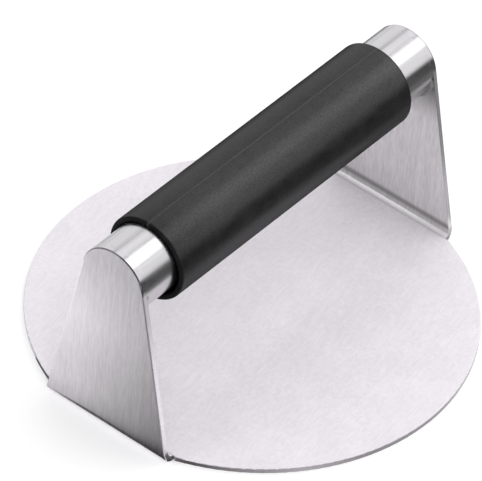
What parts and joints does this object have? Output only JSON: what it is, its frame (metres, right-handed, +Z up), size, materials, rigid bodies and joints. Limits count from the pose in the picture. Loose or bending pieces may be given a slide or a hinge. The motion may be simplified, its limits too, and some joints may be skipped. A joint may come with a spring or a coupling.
{
  "type": "bacon press",
  "caption": "Round bacon and burger press: flat stainless disc with bent-up ears, a welded tube handle and a loose black grip sleeve that turns on it.",
  "frame": {"origin": "centre of the round disc, on its flat pressing face", "axes": "+Z up out of the pressing face, X along the handle tube, Y across the handle"},
  "size_m": [0.1508, 0.1524, 0.0798],
  "materials": {
    "brushed_stainless": "fine straight brushed grain",
    "polished_stainless": "polished along the tube",
    "weld_metal": "ground flush above, rippled below",
    "black_plastic": "satin moulded"
  },
  "bodies": {
    "press": {"press_plate": "brushed_stainless", "handle_tube": "polished_stainless", "weld_bead_left": "weld_metal", "weld_bead_right": "weld_metal"},
    "sleeve": {"grip_sleeve": "black_plastic"}
  },
  "joints": [
    {"name": "sleeve_turn", "type": "hinge", "parent": "press", "child": "sleeve", "pos_m": [0, 0, 0.06415], "axis": [1, 0, 0], "continuous": true}
  ]
}
